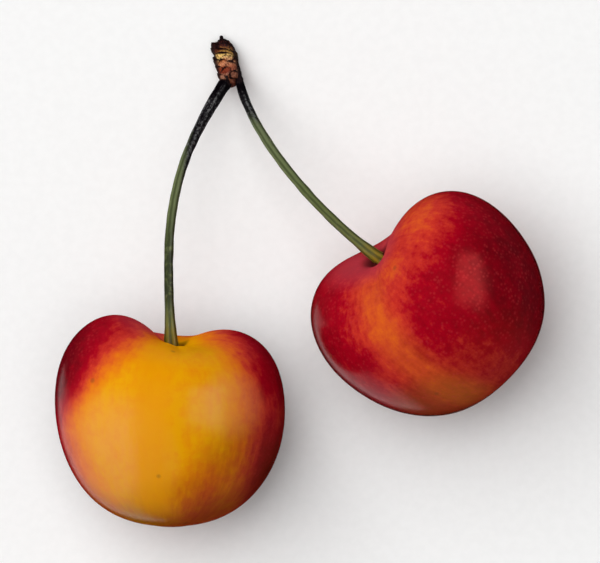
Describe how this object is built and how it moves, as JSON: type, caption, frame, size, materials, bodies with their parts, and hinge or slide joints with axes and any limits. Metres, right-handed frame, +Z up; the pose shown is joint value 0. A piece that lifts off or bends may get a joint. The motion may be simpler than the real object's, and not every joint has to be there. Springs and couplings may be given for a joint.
{
  "type": "cherries on stalks",
  "caption": "Pair of ripe bicoloured sweet cherries lying on their sides, with two thin curved stalks that meet in a small scaly bud knot.",
  "frame": {"origin": "on the table, under the middle of the pair's box", "axes": "+Z up from the table, +Y from the fruits towards the knot where the stalks meet, +X towards the redder fruit"},
  "size_m": [0.0571, 0.0572, 0.0242],
  "materials": {
    "skin_yellow": "waxy golden yellow fruit skin with a crimson blush on its flanks",
    "skin_red": "waxy crimson fruit skin with fine pale speckles and an orange seam",
    "stalk": "satin olive green plant stalk, black and woody towards the knot",
    "bud_bark": "dry bud scales in brown and gold with nearly black edges"
  },
  "bodies": {
    "root": {"cherry_left": "skin_yellow", "cherry_right": "skin_red", "stalk_left": "stalk", "stalk_right": "stalk", "bud_knot": "bud_bark"}
  },
  "joints": []
}
